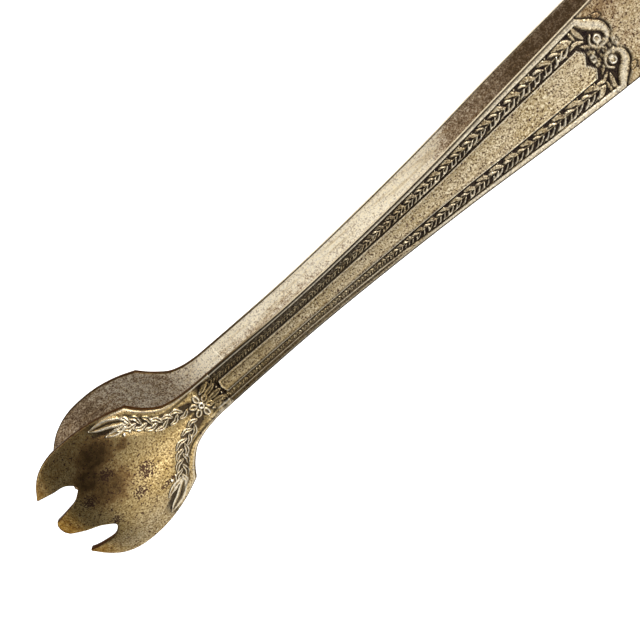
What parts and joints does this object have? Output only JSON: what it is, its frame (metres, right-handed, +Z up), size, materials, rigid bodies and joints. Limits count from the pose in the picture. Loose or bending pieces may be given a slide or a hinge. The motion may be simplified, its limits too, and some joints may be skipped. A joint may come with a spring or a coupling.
{
  "type": "ice tongs",
  "caption": "Ice tongs: one struck strip with a round spring bow, two tapered laurel-banded arms and two domed three-tine claws.",
  "frame": {"origin": "centre of the bounding box at rest, on the mirror plane of the two arms", "axes": "+X along the tongs from the bow to the claws, +Y across the strip, +Z up from the lower arm to the upper arm"},
  "size_m": [0.1774, 0.0264, 0.0334],
  "materials": {
    "silver_plate": "tarnished silver plate, warm grey-gold with dark hollows",
    "claw_plate": "tarnished silver plate, golden brown and mottled"
  },
  "bodies": {
    "bow": {"spring_bow": "silver_plate"},
    "upper_arm": {"upper_shank": "silver_plate", "upper_claw": "claw_plate"},
    "lower_arm": {"lower_shank": "silver_plate", "lower_claw": "claw_plate"}
  },
  "joints": [
    {"name": "upper_arm_flex", "type": "hinge", "parent": "bow", "child": "upper_arm", "pos_m": [-0.08544, 0, 0.00439], "axis": [0, 1, 0], "range_deg": [-4, 2.3], "stiffness_Nm_per_rad": 5, "deforming": ["spring_bow"]},
    {"name": "lower_arm_flex", "type": "hinge", "parent": "bow", "child": "lower_arm", "pos_m": [-0.08544, 0, -0.00439], "axis": [0, -1, 0], "range_deg": [-4, 2.3], "stiffness_Nm_per_rad": 5, "deforming": ["spring_bow"]}
  ],
  "couplings": [
    {"joint": "lower_arm_flex", "follows": "upper_arm_flex", "ratio": 1}
  ]
}
